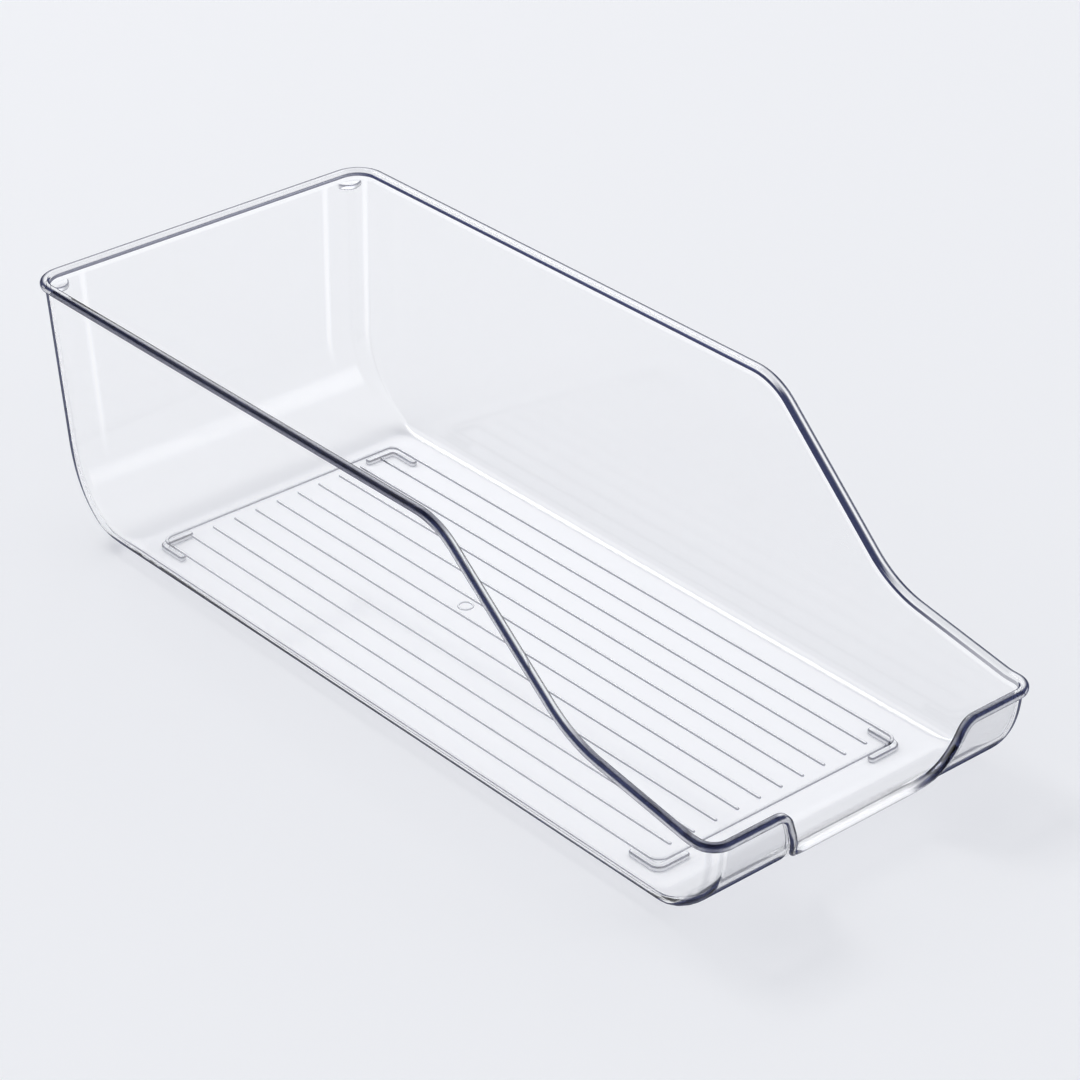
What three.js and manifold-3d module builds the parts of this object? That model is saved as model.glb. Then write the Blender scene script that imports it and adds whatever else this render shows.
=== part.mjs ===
// Clear fridge organizer bin: a deep rear part, sides that sweep down to a low front lip with
// a finger notch, a rounded rim all the way round, a ribbed floor and four corner feet.
// Millimetres, +Z up, origin under the middle of the bin, the low lip faces -Y.

import * as THREE from 'three';
import { mergeVertices } from 'three/addons/utils/BufferGeometryUtils.js';
import Module from 'manifold-3d';

// Overall size
const binLength = 350;
const binWidth = 150;
const binHeight = 100;

// Skin and how it leans
const wall = 1.8;
const floorThickness = 2.0;
const wallDraft = THREE.MathUtils.degToRad(3);
const frontLean = THREE.MathUtils.degToRad(5);

// Inside bends between floor and walls, and outside corners seen from above
const sideBend = 5;
const rearBend = 36;
const frontBend = 31;
const rearCorner = 9;
const frontCorner = 6;
const floorCorner = 5;

// Rim bead along the whole edge, flush with the inside and standing out past the outside
const rimOverhang = 1.6;
const rimHeight = 2.6;
const rimRound = 1.0;

// Side edge: level, a sweep down, then a gentle run to the lip. Distances are from the front end
const shoulderReach = 125;
const shoulderBend = 28;
const sweepEndReach = 64;
const sweepEndHeight = 47.5;
const sweepEndBend = 45;
const lipReach = 12;
const lipBend = 20;
const lipHeight = 38.7;

// Finger notch in the front lip
const notchTopWidth = 78;
const notchBottomWidth = 56;
const notchHeight = 14.8;
const notchTopBend = 7;
const notchBottomBend = 9;

// Raised frame and ribs on the floor. Margins are from the bin's edges to the frame's middle line
const frameEndMargin = 43;
const frameSideMargin = 22;
const frameCorner = 4;
const ribWidth = 1.3;
const ribHeight = 0.7;
const ribCount = 10;
const ribEndGap = 4.5;

// Gate mark ring on the floor
const gateDiameter = 6;
const gateRingWidth = 0.8;
const gateRingHeight = 0.4;
const gateRearReach = 149.5;

// Small stacking ledges inside the rear corners, just under the rim
const ledgeDrop = 4;
const ledgeThickness = 2;
const ledgeReach = 4.2;
const ledgeTurn = THREE.MathUtils.degToRad(75);
const ledgeSpread = THREE.MathUtils.degToRad(70);

// Corner feet under the floor
const footHeight = 2.0;
const footWidth = 2.8;
const footArm = 13;
const footInnerBend = 1.0;

// How far a joined shape runs past the surface it meets, and how close two points are to be one
const overrun = 0.4;
const weldDistance = 0.0004;

// Mesh steps
const bendSteps = 8;
const wallSteps = 2;
const cornerSteps = 6;
const sweepSteps = 7;
const rimRoundSteps = 2;
const endSteps = 5;
const notchRise = 3;

// Sizes and places that follow from those above
const floorTop = footHeight + floorThickness;
const rearEnd = binLength / 2;
const rimWidth = wall + rimOverhang;
const rimCorner = Math.min(rimRound, rimHeight / 2);
const frameLength = binLength - 2 * frameEndMargin;
const frameWidth = binWidth - 2 * frameSideMargin;
const evenRowsTop = notchHeight - 2 * rimHeight;
const bendRowsShare = 0.85;

// The skins of the wall by their distance inwards from its middle, which the rim bead follows.
// Each has its own base height, and its bends are larger than the inside ones by extra
const outerSkin = { offset: -wall / 2, base: footHeight, extra: wall };
const middleSkin = { offset: 0, base: floorTop, extra: 0 };
const innerSkin = { offset: wall / 2, base: floorTop, extra: 0 };

// How far the rim bead reaches out past the middle of a wall that leans
function rimReach(lean) {
  const roundCentre = rimWidth - wall / 2 - rimCorner;
  return rimCorner + roundCentre * Math.cos(lean) - rimCorner * Math.sin(lean);
}

// Distance of a leaning wall from the rim's outer edge at height z, with its bend to the floor
function insetAt(z, skin, lean, top, innerBend) {
  const bend = innerBend + skin.extra;
  const skinInset = rimReach(lean) + skin.offset / Math.cos(lean);
  const bendTop = skin.base + bend * (1 - Math.sin(lean));
  if (z >= bendTop) {
    return skinInset + Math.tan(lean) * (top - z);
  }
  const centreHeight = skin.base + bend;
  const centreInset = skinInset + Math.tan(lean) * (top - centreHeight) + bend / Math.cos(lean);
  const drop = Math.min(centreHeight - z, bend);
  return centreInset - Math.sqrt(bend * bend - drop * drop);
}

// The rounded rectangle that a skin cuts at height z
function planAt(z, skin) {
  const rise = THREE.MathUtils.smoothstep(z, skin.base, skin.base + rearBend);
  const cornerAt = (corner) => THREE.MathUtils.lerp(floorCorner, corner, rise) - skin.offset * rise;
  return {
    right: binWidth / 2 - insetAt(z, skin, wallDraft, binHeight, sideBend),
    rear: rearEnd - insetAt(z, skin, wallDraft, binHeight, rearBend),
    front: insetAt(z, skin, frontLean, lipHeight, frontBend) - rearEnd,
    rearRadius: cornerAt(rearCorner),
    frontRadius: cornerAt(frontCorner),
  };
}

// Where a station of the outline lies at height z
function planPoint(station, z, skin) {
  const plan = planAt(z, skin);
  let x = plan.right;
  let y = 0;
  if (station.zone === 'rearCorner') {
    x += plan.rearRadius * (Math.cos(station.angle) - 1);
    y = plan.rear + plan.rearRadius * (Math.sin(station.angle) - 1);
  } else if (station.zone === 'side') {
    const start = plan.front + plan.frontRadius;
    y = THREE.MathUtils.lerp(start, plan.rear - plan.rearRadius, station.share);
  } else if (station.zone === 'frontCorner') {
    x += plan.frontRadius * (Math.cos(station.angle) - 1);
    y = plan.front + plan.frontRadius * (1 - Math.sin(station.angle));
  } else {
    x = station.share * (plan.right - plan.frontRadius);
    y = plan.front;
  }
  return new THREE.Vector3(station.side * x, y, z);
}

// A line through points, with each inner point rounded by its radius
function roundedLine(points, radii, steps) {
  const line = [points[0]];
  for (let i = 1; i < points.length - 1; i += 1) {
    const before = points[i - 1].clone().sub(points[i]).normalize();
    const after = points[i + 1].clone().sub(points[i]).normalize();
    const half = Math.acos(before.dot(after)) / 2;
    const radius = radii[i - 1];
    const middle = before.clone().add(after).normalize();
    const centre = points[i].clone().addScaledVector(middle, radius / Math.sin(half));
    const from = points[i].clone().addScaledVector(before, radius / Math.tan(half)).sub(centre);
    const turn = Math.sign(before.cross(after)) * (Math.PI - 2 * half);
    for (let step = 0; step <= steps; step += 1) {
      const spoke = from.clone().rotateAround(new THREE.Vector2(), (-turn * step) / steps);
      line.push(centre.clone().add(spoke));
    }
  }
  line.push(points[points.length - 1]);
  return line;
}

// The line with its sloping stretches cut into rises no higher than the limit
function cutRises(line, limit) {
  const cut = [line[0]];
  for (let i = 1; i < line.length; i += 1) {
    const count = Math.max(1, Math.ceil(Math.abs(line[i].y - line[i - 1].y) / limit));
    for (let step = 1; step <= count; step += 1) {
      cut.push(line[i - 1].clone().lerp(line[i], step / count));
    }
  }
  return cut;
}

// Stations from the rear right corner round to the middle of the front
function halfStations() {
  const stations = [];
  for (let step = 0; step < cornerSteps; step += 1) {
    const angle = (Math.PI / 2) * (1 - step / cornerSteps);
    stations.push({ zone: 'rearCorner', angle, rim: binHeight });
  }
  const sideTop = planAt(binHeight, middleSkin);
  const sideLow = planAt(lipHeight, middleSkin);
  const sideLine = roundedLine(
    [
      new THREE.Vector2(sideTop.rear - sideTop.rearRadius, binHeight),
      new THREE.Vector2(shoulderReach - rearEnd, binHeight),
      new THREE.Vector2(sweepEndReach - rearEnd, sweepEndHeight),
      new THREE.Vector2(lipReach - rearEnd, lipHeight),
      new THREE.Vector2(sideLow.front + sideLow.frontRadius, lipHeight),
    ],
    [shoulderBend, sweepEndBend, lipBend],
    sweepSteps,
  );
  for (const point of sideLine.slice(0, -1)) {
    const plan = planAt(point.y, middleSkin);
    const start = plan.front + plan.frontRadius;
    const share = (point.x - start) / (plan.rear - plan.rearRadius - start);
    stations.push({ zone: 'side', share, rim: point.y });
  }
  for (let step = 0; step < cornerSteps; step += 1) {
    const angle = (Math.PI / 2) * (step / cornerSteps);
    stations.push({ zone: 'frontCorner', angle, rim: lipHeight });
  }
  const frontLine = roundedLine(
    [
      new THREE.Vector2(sideLow.right - sideLow.frontRadius, lipHeight),
      new THREE.Vector2(notchTopWidth / 2, lipHeight),
      new THREE.Vector2(notchBottomWidth / 2, notchHeight),
      new THREE.Vector2(0, notchHeight),
    ],
    [notchTopBend, notchBottomBend],
    sweepSteps,
  );
  for (const point of cutRises(frontLine, notchRise)) {
    const plan = planAt(point.y, middleSkin);
    const share = point.x / (plan.right - plan.frontRadius);
    stations.push({ zone: 'front', share, rim: point.y });
  }
  return stations;
}

// The whole loop: the right half, then the left half mirrored back to the rear
function allStations() {
  const right = halfStations().map((station) => ({ ...station, side: 1 }));
  const left = right
    .slice(0, -1)
    .reverse()
    .map((station) => ({ ...station, side: -1 }));
  return [...right, ...left];
}

// The bead's section, from the inside up, over the top and back under to the outer skin.
// Each point is [across the skin, up from the rim's top edge]
function beadSection() {
  const inside = -wall / 2;
  const outside = inside + rimWidth;
  const section = [[inside, -rimHeight]];
  const bends = [
    [inside + rimCorner, -rimCorner, Math.PI],
    [outside - rimCorner, -rimCorner, Math.PI / 2],
    [outside - rimCorner, rimCorner - rimHeight, 0],
  ];
  for (const [across, up, startAngle] of bends) {
    for (let step = 0; step <= rimRoundSteps; step += 1) {
      const angle = startAngle - ((Math.PI / 2) * step) / rimRoundSteps;
      section.push([across + rimCorner * Math.cos(angle), up + rimCorner * Math.sin(angle)]);
    }
  }
  section.push([wall / 2, -rimHeight]);
  return section;
}

// Heights of the mesh rows on one skin, from the floor up to the highest free height. Those under
// the notch are the same all round, and those above are drawn closer where the edge is low
function rowHeights(skin, highest) {
  const bend = rearBend + skin.extra;
  const bendTop = skin.base + bend * (1 - Math.sin(wallDraft));
  const turn = Math.PI / 2 - wallDraft;
  const bendRowsTop = THREE.MathUtils.lerp(evenRowsTop, highest, bendRowsShare);
  const squeeze = Math.min(1, (bendRowsTop - evenRowsTop) / (bendTop - evenRowsTop));
  const rows = [];
  for (let step = 0; step <= bendSteps; step += 1) {
    const row = skin.base + bend * (1 - Math.cos((turn * step) / bendSteps));
    rows.push(Math.min(row, evenRowsTop) + Math.max(0, row - evenRowsTop) * squeeze);
  }
  const last = rows[rows.length - 1];
  for (let step = 1; step < wallSteps; step += 1) {
    rows.push(THREE.MathUtils.lerp(last, highest, step / wallSteps));
  }
  return rows;
}

// A closed mesh from rings of points, one ring for each station, with both ends of the
// rings closed on a middle point
function ringsToGeometry(rings, firstMiddle, lastMiddle) {
  const count = rings.length;
  const size = rings[0].length;
  const points = [...rings.flat(), firstMiddle, lastMiddle];
  const at = (ring, index) => (ring % count) * size + index;
  const faces = [];
  for (let ring = 0; ring < count; ring += 1) {
    for (let index = 0; index < size - 1; index += 1) {
      const corners = [at(ring, index), at(ring + 1, index), at(ring + 1, index + 1), at(ring, index + 1)];
      faces.push(corners[0], corners[1], corners[2], corners[0], corners[2], corners[3]);
    }
    faces.push(points.length - 2, at(ring + 1, 0), at(ring, 0));
    faces.push(points.length - 1, at(ring, size - 1), at(ring + 1, size - 1));
  }
  const geometry = new THREE.BufferGeometry().setFromPoints(points);
  geometry.setIndex(faces);
  return geometry;
}

// The tub's skin: floor, bends, walls and rim bead as one closed mesh
function skinGeometry() {
  const stations = allStations();
  const rimPoints = stations.map((station) => planPoint(station, station.rim, middleSkin));
  const section = beadSection();
  const count = stations.length;
  const rings = stations.map((station, i) => {
    const rim = rimPoints[i];
    const along = rimPoints[(i + 1) % count].clone().sub(rimPoints[(i + count - 1) % count]).normalize();
    const down = planPoint(station, station.rim - rimHeight, middleSkin).sub(rim);
    const out = along.clone().cross(down).normalize();
    const up = out.clone().cross(along).normalize();
    if (up.z < 0) {
      up.negate();
    }
    const highest = station.rim - (rimHeight + overrun) / up.z;
    const inner = rowHeights(innerSkin, highest).map((z) => planPoint(station, z, innerSkin));
    const outer = rowHeights(outerSkin, highest).map((z) => planPoint(station, z, outerSkin));
    const bead = section.map(([across, height]) =>
      rim.clone().addScaledVector(out, across).addScaledVector(up, height),
    );
    return [...inner, ...bead, ...outer.reverse()];
  });
  const middle = (z) => new THREE.Vector3(0, 0, z);
  return ringsToGeometry(rings, middle(floorTop), middle(footHeight));
}

// A rounded rectangle outline around the origin
function roundedRectangle(across, along, corner) {
  const shape = new THREE.Shape();
  const x = across / 2 - corner;
  const y = along / 2 - corner;
  shape.absarc(x, y, corner, 0, Math.PI / 2);
  shape.absarc(-x, y, corner, Math.PI / 2, Math.PI);
  shape.absarc(-x, -y, corner, Math.PI, Math.PI * 1.5);
  shape.absarc(x, -y, corner, Math.PI * 1.5, Math.PI * 2);
  return shape;
}

function extrude(shape, bottom, top) {
  const geometry = new THREE.ExtrudeGeometry(shape, {
    depth: top - bottom,
    bevelEnabled: false,
    curveSegments: endSteps,
  });
  return geometry.translate(0, 0, bottom);
}

// The raised frame, the ribs inside it and the gate mark ring
function floorReliefGeometries() {
  const bottom = floorTop - overrun;
  const top = floorTop + ribHeight;
  const frame = roundedRectangle(frameWidth + ribWidth, frameLength + ribWidth, frameCorner + ribWidth / 2);
  frame.holes.push(roundedRectangle(frameWidth - ribWidth, frameLength - ribWidth, frameCorner - ribWidth / 2));
  const pieces = [extrude(frame, bottom, top)];
  const pitch = frameWidth / (ribCount + 1);
  const ribLength = frameLength - 2 * ribEndGap;
  for (let rib = 1; rib <= ribCount; rib += 1) {
    const shape = roundedRectangle(ribWidth, ribLength, ribWidth / 2);
    pieces.push(extrude(shape, bottom, top).translate(rib * pitch - frameWidth / 2, 0, 0));
  }
  const gate = new THREE.Shape();
  gate.absarc(0, 0, gateDiameter / 2, 0, Math.PI * 2);
  const gateHole = new THREE.Path();
  gateHole.absarc(0, 0, gateDiameter / 2 - gateRingWidth, 0, Math.PI * 2);
  gate.holes.push(gateHole);
  const ring = extrude(gate, bottom, floorTop + gateRingHeight);
  pieces.push(ring.translate(0, rearEnd - gateRearReach, 0));
  return pieces;
}

// A small ledge across a rear corner just under the rim, rounded towards the inside
function ledgeGeometry(side) {
  const top = binHeight - ledgeDrop;
  const plan = planAt(top - ledgeThickness, middleSkin);
  const radius = plan.rearRadius;
  const shape = new THREE.Shape();
  shape.absarc(0, 0, radius, ledgeTurn - ledgeSpread / 2, ledgeTurn + ledgeSpread / 2);
  const nose = radius - wall / 2 - ledgeReach;
  const pull = 2 * nose - radius * Math.cos(ledgeSpread / 2);
  const first = shape.getPoints(endSteps)[0];
  shape.quadraticCurveTo(pull * Math.cos(ledgeTurn), pull * Math.sin(ledgeTurn), first.x, first.y);
  const geometry = extrude(shape, top - ledgeThickness, top);
  geometry.translate(plan.right - radius, plan.rear - radius, 0);
  if (side < 0) {
    geometry.scale(-1, 1, 1);
    const index = [...Array(geometry.attributes.position.count).keys()];
    geometry.setIndex(index.reverse());
  }
  return geometry;
}

// Solids are joined as closed meshes
const manifold = await Module();
manifold.setup();

function toSolid(geometry) {
  const bare = geometry.clone();
  bare.deleteAttribute('normal');
  bare.deleteAttribute('uv');
  const merged = mergeVertices(bare, weldDistance);
  return new manifold.Manifold(
    new manifold.Mesh({
      numProp: 3,
      vertProperties: new Float32Array(merged.attributes.position.array),
      triVerts: new Uint32Array(merged.index.array),
    }),
  );
}

function toGeometry(solid) {
  const mesh = solid.getMesh();
  const geometry = new THREE.BufferGeometry();
  geometry.setAttribute('position', new THREE.BufferAttribute(mesh.vertProperties, 3));
  geometry.setIndex(new THREE.BufferAttribute(mesh.triVerts, 1));
  return geometry;
}

function tubGeometry() {
  let solid = toSolid(skinGeometry());
  for (const piece of [...floorReliefGeometries(), ledgeGeometry(1), ledgeGeometry(-1)]) {
    solid = solid.add(toSolid(piece));
  }
  return toGeometry(solid);
}

// One L-shaped foot, its bend at the origin and its arms along -X and -Y
function footShape() {
  const half = footWidth / 2;
  const reach = footArm - half;
  const centre = -footInnerBend - half;
  const shape = new THREE.Shape();
  shape.absarc(-reach, 0, half, Math.PI / 2, Math.PI * 1.5);
  shape.absarc(centre, centre, footInnerBend, Math.PI / 2, 0, true);
  shape.absarc(0, -reach, half, Math.PI, Math.PI * 2);
  shape.absarc(centre, centre, footInnerBend + footWidth, 0, Math.PI / 2);
  return shape;
}

const clearPlastic = new THREE.MeshStandardMaterial({
  color: 0xe6ebf2,
  roughness: 0.06,
  metalness: 0,
  transparent: true,
  opacity: 0.35,
});
const clearFootPlastic = new THREE.MeshStandardMaterial({
  color: 0xd7dce6,
  roughness: 0.25,
  metalness: 0,
  transparent: true,
  opacity: 0.5,
});

const group = new THREE.Group();

const tub = new THREE.Mesh(tubGeometry(), clearPlastic);
tub.name = 'bin_tub';
group.add(tub);

const footCorners = [
  ['foot_rear_right', 1, 1, 0],
  ['foot_rear_left', -1, 1, Math.PI / 2],
  ['foot_front_left', -1, -1, Math.PI],
  ['foot_front_right', 1, -1, -Math.PI / 2],
];
for (const [name, acrossSide, alongSide, turn] of footCorners) {
  const foot = new THREE.Mesh(extrude(footShape(), 0, footHeight), clearFootPlastic);
  foot.name = name;
  foot.rotation.z = turn;
  foot.position.set((acrossSide * frameWidth) / 2, (alongSide * frameLength) / 2, 0);
  group.add(foot);
}

export default group;
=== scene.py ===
"""Looks of a clear fridge organizer bin: a finely meshed clear moulding and four clear feet, set in
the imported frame, on a pale studio floor. Metres, +Z up, the low front lip faces -Y."""

import math

import bmesh
import bpy
from mathutils import Matrix, Vector


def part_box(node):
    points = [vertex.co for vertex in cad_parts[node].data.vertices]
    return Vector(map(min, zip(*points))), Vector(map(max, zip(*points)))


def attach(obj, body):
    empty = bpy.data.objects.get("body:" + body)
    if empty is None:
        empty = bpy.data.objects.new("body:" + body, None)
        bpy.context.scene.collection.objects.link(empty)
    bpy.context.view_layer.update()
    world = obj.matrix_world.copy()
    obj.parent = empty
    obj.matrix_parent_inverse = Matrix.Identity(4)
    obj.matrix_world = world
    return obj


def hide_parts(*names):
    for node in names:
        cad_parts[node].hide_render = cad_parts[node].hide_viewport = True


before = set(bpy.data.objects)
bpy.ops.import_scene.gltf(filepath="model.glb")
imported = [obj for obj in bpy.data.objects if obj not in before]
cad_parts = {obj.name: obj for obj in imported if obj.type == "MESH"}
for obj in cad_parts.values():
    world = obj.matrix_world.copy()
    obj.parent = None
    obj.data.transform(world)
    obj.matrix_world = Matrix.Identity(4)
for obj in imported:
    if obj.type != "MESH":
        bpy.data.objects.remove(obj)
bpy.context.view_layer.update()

# Places taken from the frame
tub_low, tub_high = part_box("bin_tub")
BIN_WIDTH = tub_high.x - tub_low.x
BIN_HEIGHT = tub_high.z
FLOOR_UNDER = tub_low.z
REAR_END = (tub_high.y - tub_low.y) / 2
FEET = [name for name in sorted(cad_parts) if name.startswith("foot_")]

# Skin and how it leans
WALL = 0.0018
FLOOR_THICKNESS = 0.0020
WALL_DRAFT = math.radians(3)
FRONT_LEAN = math.radians(5)

# Inside bends between floor and walls, and outside corners seen from above
SIDE_BEND = 0.005
REAR_BEND = 0.036
FRONT_BEND = 0.031
REAR_CORNER = 0.009
FRONT_CORNER = 0.006
FLOOR_CORNER = 0.005

# Rim bead, flush with the inside
RIM_OVERHANG = 0.0016
RIM_HEIGHT = 0.0026
RIM_ROUND = 0.0010

# Side edge, as distances from the front end and heights
SHOULDER_REACH = 0.125
SHOULDER_BEND = 0.028
SWEEP_END_REACH = 0.064
SWEEP_END_HEIGHT = 0.0475
SWEEP_END_BEND = 0.045
LIP_REACH = 0.012
LIP_BEND = 0.020
LIP_HEIGHT = 0.0387

# Finger notch in the front lip
NOTCH_TOP_WIDTH = 0.078
NOTCH_BOTTOM_WIDTH = 0.056
NOTCH_HEIGHT = 0.0148
NOTCH_TOP_BEND = 0.007
NOTCH_BOTTOM_BEND = 0.009

# Raised frame, ribs and gate mark ring on the floor
FRAME_END_MARGIN = 0.043
FRAME_SIDE_MARGIN = 0.022
FRAME_CORNER = 0.004
RIB_WIDTH = 0.0013
RIB_HEIGHT = 0.0007
RIB_COUNT = 10
RIB_END_GAP = 0.0045
GATE_RADIUS = 0.003
GATE_RING_WIDTH = 0.0008
GATE_RING_HEIGHT = 0.0004
GATE_REAR_REACH = 0.1495

# Ledges inside the rear corners
LEDGE_DROP = 0.004
LEDGE_THICKNESS = 0.002
LEDGE_REACH = 0.0042
LEDGE_TURN = math.radians(75)
LEDGE_SPREAD = math.radians(70)
LEDGE_EDGE = 0.0006

# Feet
FOOT_WIDTH = 0.0028
FOOT_INNER_BEND = 0.0010
FOOT_EDGE = 0.0006
FOOT_GAP = 0.00005

# Overlap of joined forms, distance of doubles, and the angle from which an edge stays sharp
OVERRUN = 0.0004
WELD = 0.0000005
SHARP_ANGLE = math.radians(32)

# Mesh steps
BEND_STEPS = 18
WALL_STEPS = 3
CORNER_STEPS = 16
SWEEP_STEPS = 20
RIM_ROUND_STEPS = 6
RIDGE_STEPS = 6
CAP_STEPS = 12
RING_STEPS = 48
EDGE_STEPS = 4
ROUND_PROFILE_SHARE = 0.5
LONGEST_RISE = 0.0012
BEND_ROWS_SHARE = 0.85
LAST_ROW_PARTS = 3

# Sizes that follow from those above
FLOOR_TOP = FLOOR_UNDER + FLOOR_THICKNESS
RIM_WIDTH = WALL + RIM_OVERHANG
FRAME_LENGTH = 2 * (REAR_END - FRAME_END_MARGIN)
FRAME_WIDTH = BIN_WIDTH - 2 * FRAME_SIDE_MARGIN
EVEN_ROWS_TOP = NOTCH_HEIGHT - 2 * RIM_HEIGHT

# How dark the moulding is painted, from 0 to 1, where its plastic is thick along the line of sight:
# painted dark lines and shade in place of the dark that refraction and reflection show there. They
# are lines on ridges, ledges, feet and the bead's outside and underside, the bead's rounds where they
# face the eye, a band on its inner face, the back of that face, outlines of bends and corners, and
# painted streaks and shade on the front. A rim is level or steep.
OUTSIDE_LINE = 0.4
CORNER_OUTSIDE_LINE = 0.9
UNDER_LINE = 0.85
OUTER_MARGIN = {"inset": 0.0008, "level": 1.0, "steep": 0.3}
TOP_ROUND = {"level": 0.95, "steep": 1.0}
INNER_ROUND = {"level": 0.0, "steep": 1.0}
NOTCH_TOP = 0.8
INNER_BAND = {"rear": 0.8, "low": 0.5, "high": 1.0}
BAND_RISE = 0.0013
BAND_FADE = 0.0002
INNER_BACK = {"level": 0.85, "steep": 0.15}
LEVEL_TILT = 0.03
STEEP_TILT = 0.2
RIDGE_LINE = 0.85
FOOT_EDGE_LINE = 1.0
LEDGE_EDGE_LINE = 0.7
LEDGE_SIDE = 0.4
FOOT_SIDE = 0.35
REAR_CORNER_OUTLINE_REACH = 0.0020
FRONT_CORNER_OUTLINE_REACH = 0.0010
SIDE_OUTLINE_REACH = 0.00045
REAR_OUTLINE_REACH = 0.0010
FRONT_OUTLINE_REACH = 0.0009
ROUND_OUTLINE_REACH = 0.00015
CORNER_FADE = math.radians(12)
NOTCH_FADE = 0.012
LOW_RIM_SHARE = 0.12
PAINTED_FRONT_SHADE = 0.18
PAINTED_STREAKS = [
    {"share": 0.42, "width": 0.16, "dark": 0.15},
    {"share": 0.78, "width": 0.10, "dark": 0.20},
]

# Painted highlights: how brightly the moulding glows, by emission, at its corners, floor bends and
# rim, in place of the bright light that reflection and refraction show there, and how far that reaches
CORNER_GLOW = 0.13
CORNER_GLOW_REACH = 0.0018
CORNER_GLOW_ANGLE = math.radians(32)
REAR_GLOW_PLACE = 0.009
BEND_GLOW = 0.06
REAR_BEND_GLOW = 0.07
RIM_GLOW = 0.1
RIM_GLOW_REACH = 0.0007
UNDER_RIM_REACH = 1.5 * RIM_GLOW_REACH
TOP_GLOW = {"level": 0.0, "steep": 0.1}
NOTCH_GLOW = 0.32

# Where those values start or end, as shares of a bead round or of a bend's height, and how
# strongly a ridge's painted dark line is pulled to its foot
BAND_END_SHARE = 0.5
BACK_START_SHARE = 0.8
TOP_GLOW_START_SHARE = 0.5
OUTSIDE_START_SHARE = 0.5
MARGIN_FADE_SHARES = (0.2, 0.65)
UNDER_FADE_SHARES = (0.2, 0.8)
OUTLINE_SHARES = (0.05, 0.2, 0.8, 1)
SIDE_GLOW_SHARES = (0.03, 0.1, 0.12, 0.25)
REAR_GLOW_SHARES = (0, 0.06, 0.1, 0.5)
FLANK_PULL = 3

# The values at each point of a mesh that tell its material its painted dark lines and painted glow
CLEAR = {"line": 0, "round": 0, "band": 0, "back": 0, "edge": 0, "glow": 0}
DRAWN = list(CLEAR)

# Skins of the wall by their distance inwards from its middle
OUTER_SKIN = {"offset": -WALL / 2, "base": FLOOR_UNDER, "extra": WALL}
MIDDLE_SKIN = {"offset": 0, "base": FLOOR_TOP, "extra": 0}
INNER_SKIN = {"offset": WALL / 2, "base": FLOOR_TOP, "extra": 0}


def lerp(a, b, share):
    return a + (b - a) * share


def smoothstep(x, low, high):
    share = min(1, max(0, (x - low) / (high - low)))
    return share * share * (3 - 2 * share)


def hump(x, start, full, fading, end):
    """A smooth rise from 0 to 1 and a smooth fall back to 0."""
    return smoothstep(x, start, full) * (1 - smoothstep(x, fading, end))


def rim_reach(lean):
    """How far the rim bead reaches out past the middle of a wall that leans."""
    round_centre = RIM_WIDTH - WALL / 2 - RIM_ROUND
    return RIM_ROUND + round_centre * math.cos(lean) - RIM_ROUND * math.sin(lean)


def inset_at(z, skin, lean, top, inner_bend):
    """Distance of a leaning wall from the rim's outer edge at height z, with its bend to the floor."""
    bend = inner_bend + skin["extra"]
    skin_inset = rim_reach(lean) + skin["offset"] / math.cos(lean)
    if z >= skin["base"] + bend * (1 - math.sin(lean)):
        return skin_inset + math.tan(lean) * (top - z)
    centre_height = skin["base"] + bend
    centre_inset = skin_inset + math.tan(lean) * (top - centre_height) + bend / math.cos(lean)
    drop = min(centre_height - z, bend)
    return centre_inset - math.sqrt(bend * bend - drop * drop)


def plan_at(z, skin):
    """The rounded rectangle that a skin cuts at height z."""
    rise = smoothstep(z, skin["base"], skin["base"] + REAR_BEND)

    def corner_at(corner):
        return lerp(FLOOR_CORNER, corner, rise) - skin["offset"] * rise

    return {
        "right": BIN_WIDTH / 2 - inset_at(z, skin, WALL_DRAFT, BIN_HEIGHT, SIDE_BEND),
        "rear": REAR_END - inset_at(z, skin, WALL_DRAFT, BIN_HEIGHT, REAR_BEND),
        "front": inset_at(z, skin, FRONT_LEAN, LIP_HEIGHT, FRONT_BEND) - REAR_END,
        "rear_radius": corner_at(REAR_CORNER),
        "front_radius": corner_at(FRONT_CORNER),
    }


def plan_point(station, z, skin):
    """Where a station of the outline lies at height z."""
    plan = plan_at(z, skin)
    x, y = plan["right"], 0
    if station["zone"] == "rear_corner":
        x += plan["rear_radius"] * (math.cos(station["angle"]) - 1)
        y = plan["rear"] + plan["rear_radius"] * (math.sin(station["angle"]) - 1)
    elif station["zone"] == "side":
        start = plan["front"] + plan["front_radius"]
        y = lerp(start, plan["rear"] - plan["rear_radius"], station["share"])
    elif station["zone"] == "front_corner":
        x += plan["front_radius"] * (math.cos(station["angle"]) - 1)
        y = plan["front"] + plan["front_radius"] * (1 - math.sin(station["angle"]))
    elif station["zone"] == "rear":
        x = station["share"] * (plan["right"] - plan["rear_radius"])
        y = plan["rear"]
    else:
        x = station["share"] * (plan["right"] - plan["front_radius"])
        y = plan["front"]
    return Vector((station["side"] * x, y, z))


def rounded_line(points, radii, steps):
    """A line through 2D points, with each inner point rounded by its radius."""
    line = [points[0]]
    for i in range(1, len(points) - 1):
        before = (points[i - 1] - points[i]).normalized()
        after = (points[i + 1] - points[i]).normalized()
        half = math.acos(before.dot(after)) / 2
        radius = radii[i - 1]
        middle = (before + after).normalized()
        centre = points[i] + middle * (radius / math.sin(half))
        start = points[i] + before * (radius / math.tan(half)) - centre
        turn = math.copysign(math.pi - 2 * half, before.x * after.y - before.y * after.x)
        for step in range(steps + 1):
            spoke = Matrix.Rotation(-turn * step / steps, 2) @ start
            line.append(centre + spoke)
    line.append(points[-1])
    return line


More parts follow.
